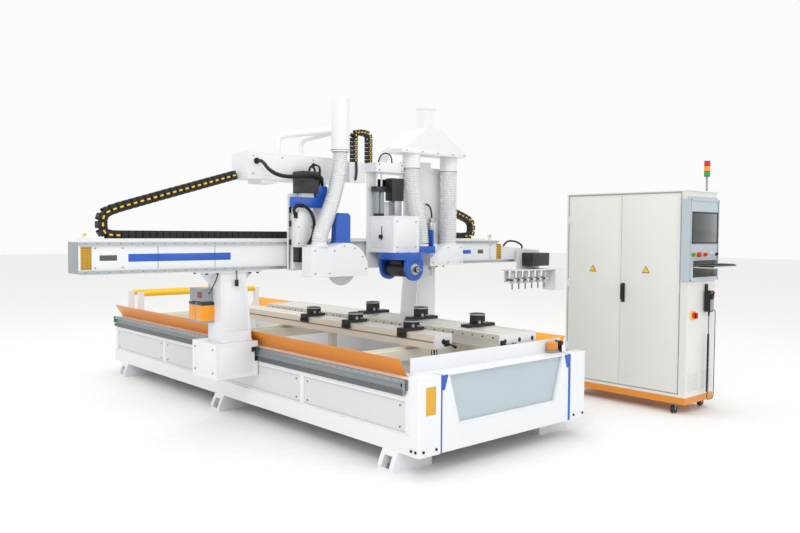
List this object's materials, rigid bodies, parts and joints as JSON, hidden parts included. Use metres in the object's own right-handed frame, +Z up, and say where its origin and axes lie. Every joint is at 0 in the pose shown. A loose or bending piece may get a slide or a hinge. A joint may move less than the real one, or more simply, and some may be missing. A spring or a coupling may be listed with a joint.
{
  "type": "cnc router",
  "caption": "Gantry CNC woodworking router with saw head, swivelling milling head, tool-change spindle, movable pod beams and a control cabinet.",
  "frame": {"origin": "on the floor, at the centre of the four corner anchor bolts of the bed", "axes": "+X along the gantry beam, to the right seen from the front cover; +Y along the bed, away from the front cover; +Z up"},
  "size_m": [5.065, 5.156, 2.645],
  "materials": {
    "white_paint": "satin",
    "blue_paint": "satin",
    "orange_paint": "satin",
    "grey_paint": "satin",
    "cream_paint": "satin",
    "cabinet_paint": "satin",
    "rail_steel": "brushed",
    "blade_steel": "brushed",
    "aluminium": "satin",
    "chain_plastic": "matte",
    "black_plastic": "matte",
    "hose_plastic": "glossy",
    "yellow_plastic": "glossy",
    "red_plastic": "glossy",
    "green_plastic": "glossy",
    "lamp_plastic": "glossy",
    "grey_plastic": "matte"
  },
  "bodies": {
    "base": {"bed_frame": "white_paint", "corner_posts": "white_paint", "front_fascia": "white_paint", "fascia_panel": "grey_paint", "side_panels": "grey_paint", "bed_rails": "rail_steel", "sheet_guards": "orange_paint", "cross_supports": "cream_paint", "cabinet_shell": "cabinet_paint", "cabinet_plinth": "orange_paint", "control_console": "grey_paint", "stack_light": "lamp_plastic", "pendant": "grey_plastic", "pendant_curl": "black_plastic", "pendant_lead": "black_plastic"},
    "gantry": {"gantry_columns": "white_paint", "foot_housings": "white_paint", "gantry_beam": "white_paint", "beam_rails": "rail_steel", "lubricator": "grey_paint", "left_chain": "chain_plastic", "right_chain": "chain_plastic"},
    "saw_saddle": {"saw_carriage": "white_paint", "saw_cable_box": "white_paint", "saw_duct": "white_paint", "saw_hose": "hose_plastic"},
    "saw_lift": {"saw_slide": "white_paint"},
    "saw_head": {"saw_guard": "white_paint", "saw_motor": "blue_paint"},
    "saw_arbor": {"saw_blade": "blade_steel"},
    "spindle_saddle": {"spindle_carriage": "white_paint", "dust_hood": "white_paint", "z_chain": "chain_plastic", "milling_hose": "hose_plastic", "spindle_hose": "hose_plastic"},
    "milling_lift": {"milling_cover": "white_paint", "lift_cylinders": "aluminium"},
    "milling_yoke": {"yoke": "blue_paint"},
    "milling_tool": {"mill_spindle": "rail_steel"},
    "spindle_lift": {"spindle_cover": "white_paint"},
    "spindle_arbor": {"spindle_tool": "rail_steel"},
    "magazine": {"tool_magazine": "grey_paint"},
    "beam_a": {"work_beam_a": "aluminium"},
    "beam_b": {"work_beam_b": "aluminium"},
    "roller_1": {"roller_front": "yellow_plastic"},
    "roller_2": {"roller_rear": "yellow_plastic"},
    "door_front": {"cabinet_door_front": "cabinet_paint"},
    "door_rear": {"cabinet_door_rear": "cabinet_paint"},
    "handle": {"door_handle": "black_plastic"},
    "tray": {"keyboard_tray": "cabinet_paint"},
    "start": {"start_button": "green_plastic"},
    "e_stop": {"e_stop_button": "red_plastic"},
    "stop": {"stop_button": "red_plastic"},
    "isolator": {"main_switch": "red_plastic"},
    "pod_body_1": {"pod_1": "black_plastic"},
    "pod_body_2": {"pod_2": "black_plastic"},
    "pod_body_3": {"pod_3": "black_plastic"},
    "pod_body_4": {"pod_4": "black_plastic"},
    "pod_body_5": {"pod_5": "black_plastic"},
    "pod_body_6": {"pod_6": "black_plastic"}
  },
  "joints": [
    {"name": "gantry_travel", "type": "slide", "parent": "base", "child": "gantry", "axis": [0, 1, 0], "range_m": [-0.55, 2.1]},
    {"name": "saw_travel", "type": "slide", "parent": "gantry", "child": "saw_saddle", "axis": [1, 0, 0], "range_m": [-1, 0], "deforming": ["left_chain"]},
    {"name": "saw_lift_slide", "type": "slide", "parent": "saw_saddle", "child": "saw_lift", "axis": [0, 0, 1], "range_m": [-0.18, 0], "deforming": ["saw_hose"]},
    {"name": "saw_swivel", "type": "hinge", "parent": "saw_lift", "child": "saw_head", "pos_m": [-0.435, -0.75, 1.4], "axis": [0, 0, 1], "range_deg": [-90, 0]},
    {"name": "saw_arbor_spin", "type": "hinge", "parent": "saw_head", "child": "saw_arbor", "pos_m": [-0.215, -0.7, 1.224], "axis": [0, 1, 0], "continuous": true},
    {"name": "spindle_travel", "type": "slide", "parent": "gantry", "child": "spindle_saddle", "axis": [1, 0, 0], "range_m": [0, 0.45], "deforming": ["right_chain"]},
    {"name": "milling_lift_slide", "type": "slide", "parent": "spindle_saddle", "child": "milling_lift", "axis": [0, 0, 1], "range_m": [-0.2, 0], "deforming": ["milling_hose"]},
    {"name": "yoke_swivel", "type": "hinge", "parent": "milling_lift", "child": "milling_yoke", "pos_m": [0.452, -0.73, 1.285], "axis": [0, 0, 1], "range_deg": [-90, 90]},
    {"name": "milling_spin", "type": "hinge", "parent": "milling_yoke", "child": "milling_tool", "pos_m": [0.452, -0.85, 1.192], "axis": [0, 1, 0], "continuous": true},
    {"name": "spindle_lift_slide", "type": "slide", "parent": "spindle_saddle", "child": "spindle_lift", "axis": [0, 0, 1], "range_m": [-0.21, 0], "deforming": ["spindle_hose"]},
    {"name": "spindle_spin", "type": "hinge", "parent": "spindle_lift", "child": "spindle_arbor", "pos_m": [0.93, -0.615, 1.22], "axis": [0, 0, 1], "continuous": true},
    {"name": "magazine_travel", "type": "slide", "parent": "gantry", "child": "magazine", "axis": [1, 0, 0], "range_m": [-0.45, 0]},
    {"name": "beam_a_travel", "type": "slide", "parent": "base", "child": "beam_a", "axis": [1, 0, 0], "range_m": [-0.35, 0.09]},
    {"name": "beam_b_travel", "type": "slide", "parent": "base", "child": "beam_b", "axis": [1, 0, 0], "range_m": [-0.09, 0.2]},
    {"name": "roller_front_spin", "type": "hinge", "parent": "base", "child": "roller_1", "pos_m": [0, 2.08, 0.845], "axis": [1, 0, 0], "continuous": true},
    {"name": "roller_rear_spin", "type": "hinge", "parent": "base", "child": "roller_2", "pos_m": [0, 2.33, 0.845], "axis": [1, 0, 0], "continuous": true},
    {"name": "door_front_hinge", "type": "hinge", "parent": "base", "child": "door_front", "pos_m": [1.976, -2.502, 1], "axis": [0, 0, -1], "range_deg": [-100, 0]},
    {"name": "door_rear_hinge", "type": "hinge", "parent": "base", "child": "door_rear", "pos_m": [1.976, -1.388, 1], "axis": [0, 0, -1], "range_deg": [0, 100]},
    {"name": "handle_turn", "type": "hinge", "parent": "door_front", "child": "handle", "pos_m": [1.968, -1.971, 1.05], "axis": [1, 0, 0], "range_deg": [0, 90]},
    {"name": "tray_travel", "type": "slide", "parent": "base", "child": "tray", "axis": [0, 1, 0], "range_m": [0, 0.15]},
    {"name": "start_press", "type": "slide", "parent": "base", "child": "start", "axis": [0, 1, 0], "range_m": [0, 0.005], "stiffness_N_per_m": 400, "springref_m": -0.003},
    {"name": "e_stop_press", "type": "slide", "parent": "base", "child": "e_stop", "axis": [0, 1, 0], "range_m": [0, 0.005]},
    {"name": "stop_press", "type": "slide", "parent": "base", "child": "stop", "axis": [0, 1, 0], "range_m": [0, 0.005], "stiffness_N_per_m": 400, "springref_m": -0.003},
    {"name": "isolator_turn", "type": "hinge", "parent": "base", "child": "isolator", "pos_m": [2.08, -2.6, 0.83], "axis": [0, 1, 0], "range_deg": [0, 90]},
    {"name": "pod_1_travel", "type": "slide", "parent": "beam_a", "child": "pod_body_1", "axis": [0, 1, 0], "range_m": [-0.2, 1.2]},
    {"name": "pod_2_travel", "type": "slide", "parent": "beam_a", "child": "pod_body_2", "axis": [0, 1, 0], "range_m": [-0.25, 0.25]},
    {"name": "pod_3_travel", "type": "slide", "parent": "beam_a", "child": "pod_body_3", "axis": [0, 1, 0], "range_m": [-0.25, 0.25]},
    {"name": "pod_4_travel", "type": "slide", "parent": "beam_b", "child": "pod_body_4", "axis": [0, 1, 0], "range_m": [-0.25, 1.2]},
    {"name": "pod_5_travel", "type": "slide", "parent": "beam_b", "child": "pod_body_5", "axis": [0, 1, 0], "range_m": [-0.25, 0.25]},
    {"name": "pod_6_travel", "type": "slide", "parent": "beam_b", "child": "pod_body_6", "axis": [0, 1, 0], "range_m": [-0.35, 0.25]}
  ]
}
